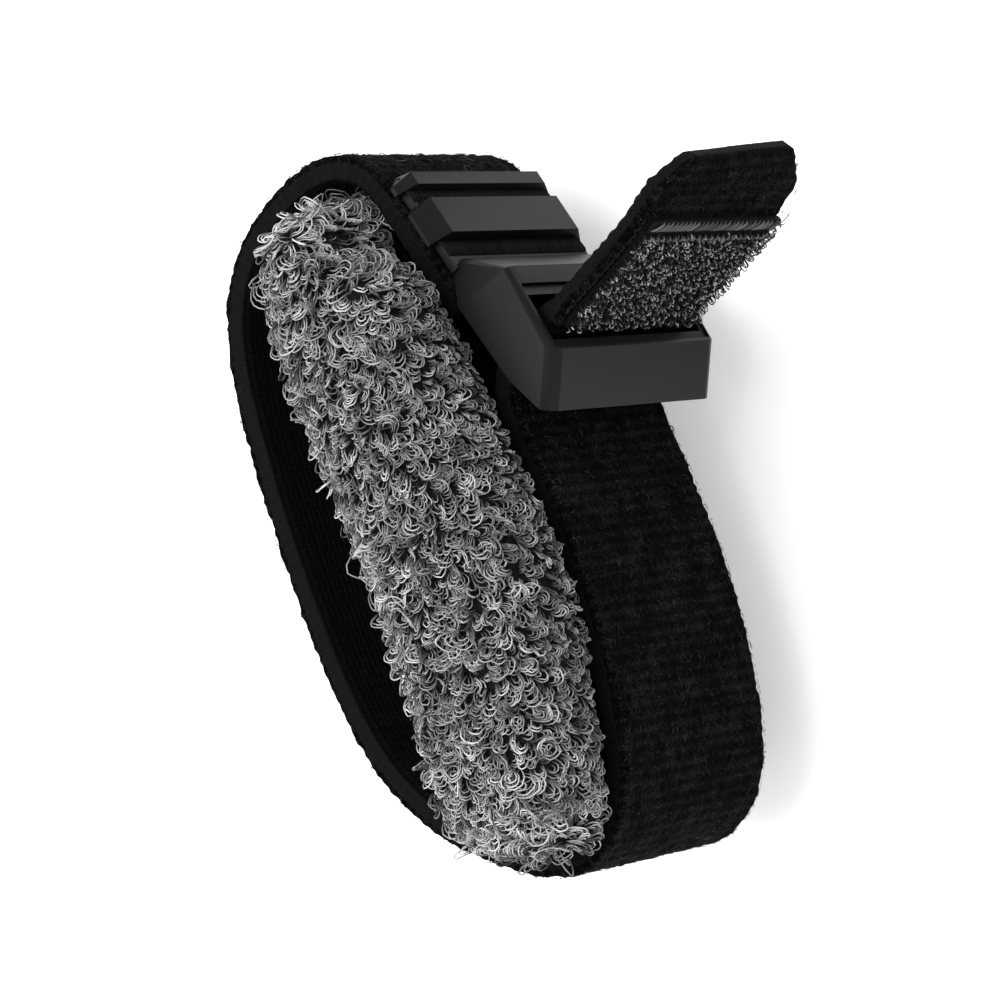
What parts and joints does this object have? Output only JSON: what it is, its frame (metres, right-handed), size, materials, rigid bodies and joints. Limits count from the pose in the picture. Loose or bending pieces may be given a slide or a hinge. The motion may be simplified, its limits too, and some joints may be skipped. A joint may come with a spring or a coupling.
{
  "type": "adjustable wristband",
  "caption": "Padded hook-and-loop cinch strap with a moulded slot buckle and a thick terry bolster inside the loop, lying on its side.",
  "frame": {"origin": "centre of the bounding box's base: the part lies on its side, on the flat side of the pad", "axes": "+Z along the wrist's axis, up from the surface it lies on; +X towards the buckle end of the loop; -Y on the side the tail stands out"},
  "size_m": [0.0768, 0.0614, 0.042],
  "materials": {
    "loop_pile": "brushed black loop pile",
    "foam": "dark cut foam edge",
    "knit": "black ribbed knit",
    "buckle": "satin moulded dark grey",
    "terry": "grey terry loops",
    "pad_foam": "soft foam",
    "hook": "dark grey hook field",
    "edge_band": "light grey woven edge",
    "thread": "black thread"
  },
  "bodies": {
    "band": {"strap_face": "loop_pile", "strap_core": "foam", "strap_lining": "knit", "buckle_frame": "buckle", "buckle_stitch_top": "thread", "buckle_stitch_low": "thread", "pad_terry_cover": "terry", "pad_foam_core": "pad_foam", "pad_backing": "knit", "pad_fix_stitch_top": "thread", "pad_fix_stitch_mid": "thread"},
    "tail": {"tail_face": "loop_pile", "tail_core": "foam", "tail_lining": "knit", "hook_tape": "hook", "hook_field": "hook", "hook_edge_band": "edge_band", "hook_side_stitch": "thread"},
    "tip": {"tip_face": "loop_pile", "tip_core": "foam", "tip_lining": "knit"}
  },
  "joints": [
    {"name": "tail_fold", "type": "hinge", "parent": "band", "child": "tail", "pos_m": [0.0119, -0.01248, 0.021], "axis": [0, 0, -1], "range_deg": [-18, 88]},
    {"name": "tip_flex", "type": "hinge", "parent": "tail", "child": "tip", "pos_m": [0.01687, -0.02545, 0.021], "axis": [0, 0, -1], "range_deg": [-18, 45]}
  ]
}
